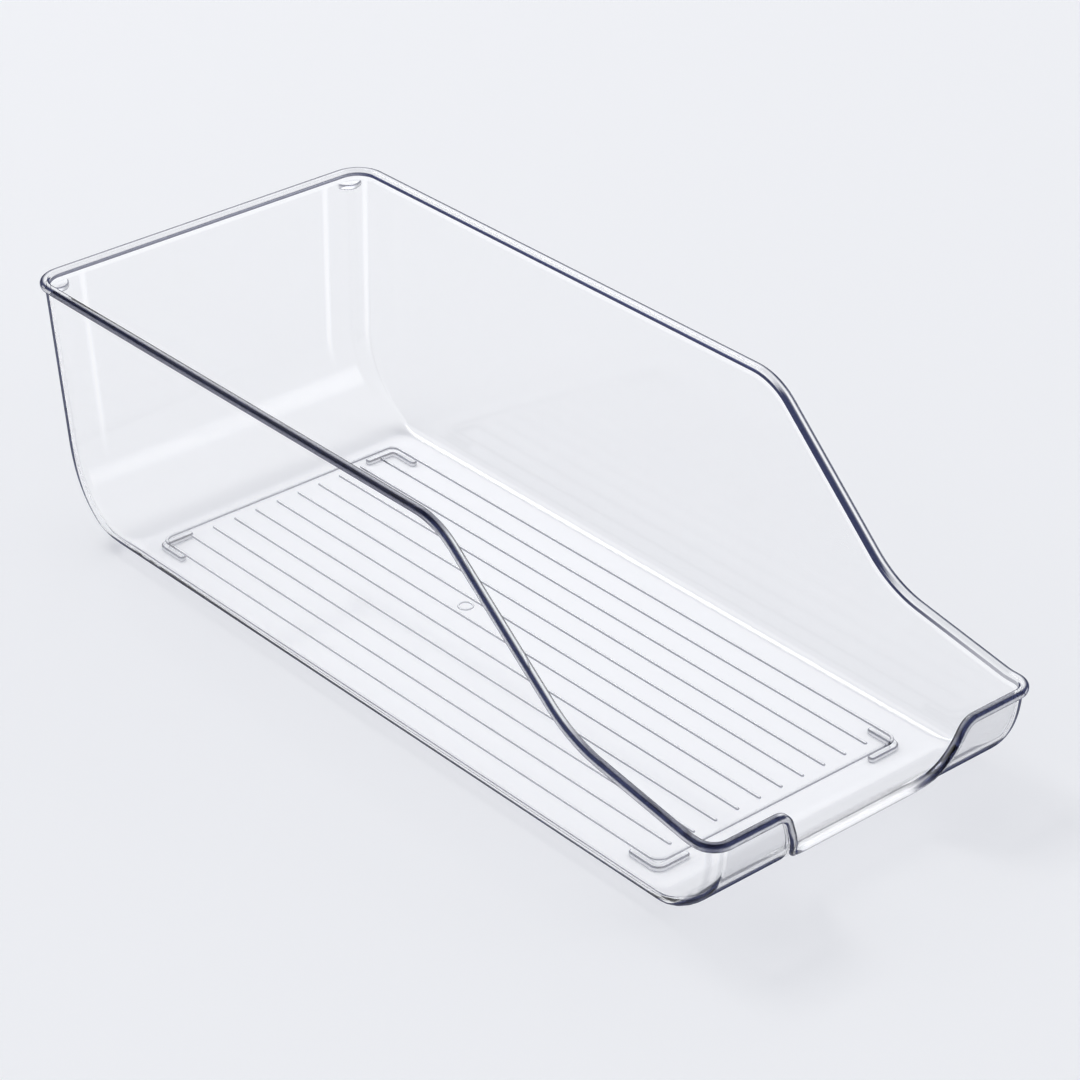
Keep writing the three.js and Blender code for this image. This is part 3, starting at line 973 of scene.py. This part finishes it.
def clear_plastic(name, roughness):
    """Clear moulded plastic: polished, with faint flow waves and haze, painted dark where it is drawn and
    painted highlights that glow.
    """
    material, tree, shader, output = node_material(name)
    flatness = tree.nodes.new("ShaderNodeLayerWeight").outputs["Facing"]
    inside = tree.nodes.new("ShaderNodeNewGeometry").outputs["Backfacing"]
    dark = painted_dark(tree, flatness, inside)

    # The shader tints each face with the square root of its colour, so that colour is squared first
    squared = tree.nodes.new("ShaderNodeGamma")
    squared.inputs["Gamma"].default_value = SQUARE_GAMMA
    tree.links.new(mixed_colour(tree, dark, PLASTIC_TINT, PAINTED_LINE_COLOUR), squared.inputs["Color"])
    wavy = tree.nodes.new("ShaderNodeBump")
    wavy.inputs["Strength"].default_value = WAVE_STRENGTH
    wavy.inputs["Distance"].default_value = WAVE_DEPTH
    tree.links.new(noise(tree, WAVE_SCALE, WAVE_DETAIL), wavy.inputs["Height"])
    undrawn = remapped(tree, dark, ends=(1.0, 0.0))
    sockets = {
        "Base Color": squared.outputs["Color"],
        "Transmission Weight": 1.0,
        "IOR": PLASTIC_BEND_IOR,
        "Roughness": remapped(tree, noise(tree, HAZE_SCALE, HAZE_DETAIL), ends=roughness),
        "Coat Weight": calculated(tree, "SUBTRACT", undrawn, inside, clamp=True),
        "Coat IOR": PLASTIC_SHINE_IOR,
        "Coat Roughness": SHINE_ROUGHNESS,
        "Coat Normal": wavy.outputs["Normal"],
        # Painted highlights: emission from the mesh's glow value, on front faces only
        "Emission Color": PAINTED_GLOW_COLOUR,
        "Emission Strength": calculated(tree, "SUBTRACT", drawn_value(tree, "glow"), inside, clamp=True),
    }
    for socket, value in sockets.items():
        set_socket(tree, shader.inputs[socket], value)

    straight, straight_share = straight_path(tree, dark, flatness)
    choice = tree.nodes.new("ShaderNodeMixShader")
    for socket, value in zip(choice.inputs, (straight_share, shader.outputs["BSDF"], straight)):
        tree.links.new(value, socket)
    tree.links.new(choice.outputs["Shader"], output.inputs["Surface"])
    return material


def dress(piece, material, nodes):
    piece.data.materials.clear()
    piece.data.materials.append(material)
    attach(piece, "root")
    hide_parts(*nodes)


tub_plastic = clear_plastic("tub_clear_plastic", TUB_ROUGHNESS)
foot_plastic = clear_plastic("foot_clear_plastic", FOOT_ROUGHNESS)
dress(make_tub(), tub_plastic, ["bin_tub"])
for foot_node in FEET:
    dress(make_foot(foot_node), foot_plastic, [foot_node])

# Camera
CAMERA_PLACE = (-0.68835, -0.81083, 0.66415)
CAMERA_YAW = 0.71228
CAMERA_PITCH = -0.52945
CAMERA_LENS = 121.15
SENSOR_WIDTH = 36.0


def make_camera():
    data = bpy.data.cameras.new("camera")
    data.lens = CAMERA_LENS
    data.sensor_width = SENSOR_WIDTH
    camera = bpy.data.objects.new("camera", data)
    bpy.context.scene.collection.objects.link(camera)
    camera.location = CAMERA_PLACE
    level = math.cos(CAMERA_PITCH)
    look = Vector((math.sin(CAMERA_YAW) * level, math.cos(CAMERA_YAW) * level, math.sin(CAMERA_PITCH)))
    camera.rotation_euler = look.to_track_quat("-Z", "Y").to_euler()
    bpy.context.scene.camera = camera


make_camera()

# Stage: a floor and one soft lamp. Azimuths are 0 along +Y and 90 along +X, in degrees.
FLOOR_COLOUR = (0.925, 0.930, 0.950, 1)
FLOOR_ROUGHNESS = 0.9
FLOOR_REACH = 7.0
KEY = {"azimuth": 0, "elevation": 52, "distance": 7.0, "width": 2.4, "height": 2.4, "radiance": 6.9}


def make_floor():
    mesh = bmesh.new()
    bmesh.ops.create_grid(mesh, x_segments=1, y_segments=1, size=FLOOR_REACH)
    data = bpy.data.meshes.new("floor")
    mesh.to_mesh(data)
    mesh.free()
    floor = bpy.data.objects.new("floor", data)
    bpy.context.scene.collection.objects.link(floor)
    material, _, shader, _ = node_material("floor_paper")
    shader.inputs["Base Color"].default_value = FLOOR_COLOUR
    shader.inputs["Roughness"].default_value = FLOOR_ROUGHNESS
    shader.inputs["Specular IOR Level"].default_value = 0.0
    floor.data.materials.append(material)


def away_from_bin(azimuth, elevation):
    """The direction at an azimuth and an elevation."""
    turn, rise = math.radians(azimuth), math.radians(elevation)
    return Vector((math.sin(turn) * math.cos(rise), math.cos(turn) * math.cos(rise), math.sin(rise)))


def softbox(name, azimuth, elevation, distance, width, height, radiance):
    """A soft lamp that faces the bin, with the brightness of its face."""
    data = bpy.data.lights.new(name, "AREA")
    data.shape = "RECTANGLE"
    data.size = width
    data.size_y = height
    data.energy = radiance * math.pi * width * height
    lamp = bpy.data.objects.new(name, data)
    bpy.context.scene.collection.objects.link(lamp)
    lamp.location = away_from_bin(azimuth, elevation) * distance
    lamp.rotation_euler = (Vector((0, 0, 0)) - lamp.location).to_track_quat("-Z", "Y").to_euler()


make_floor()
softbox("key", **KEY)

# World: an even pale studio under a darker ceiling, with soft bright panels. Panels fade from an
# inner to an outer angle from their middle, in degrees.
WORLD_COLOUR = (0.865, 0.875, 0.90, 1)
CEILING_RISE_SHARES = (0.60, 0.85)
CEILING_STRENGTH = 0.45
PANELS = [
    {"azimuth": 43, "elevation": 31, "inner": 2, "outer": 12, "strength": 1.6},
    {"azimuth": 138, "elevation": 28, "inner": 3, "outer": 13, "strength": 2.4},
    {"azimuth": 322, "elevation": 36, "inner": 6, "outer": 16, "strength": 1.6},
]


def make_world():
    world = bpy.data.worlds.new("world")
    world.use_nodes = True
    bpy.context.scene.world = world
    tree = world.node_tree
    background = tree.nodes["Background"]
    background.inputs["Color"].default_value = WORLD_COLOUR
    direction = tree.nodes.new("ShaderNodeTexCoord").outputs["Generated"]
    parts = tree.nodes.new("ShaderNodeSeparateXYZ")
    tree.links.new(direction, parts.inputs["Vector"])
    ends = (1.0, CEILING_STRENGTH)
    brightness = remapped(tree, parts.outputs["Z"], CEILING_RISE_SHARES, ends, "SMOOTHSTEP")
    for panel in PANELS:
        nearness = tree.nodes.new("ShaderNodeVectorMath")
        nearness.operation = "DOT_PRODUCT"
        nearness.inputs[1].default_value = away_from_bin(panel["azimuth"], panel["elevation"])
        tree.links.new(direction, nearness.inputs[0])
        span = [math.cos(math.radians(panel[edge])) for edge in ("outer", "inner")]
        glow = remapped(tree, nearness.outputs["Value"], span, (0.0, panel["strength"]), "SMOOTHSTEP")
        brightness = calculated(tree, "ADD", brightness, glow)
    tree.links.new(brightness, background.inputs["Strength"])


make_world()
bpy.context.scene.view_settings.view_transform = "Standard"
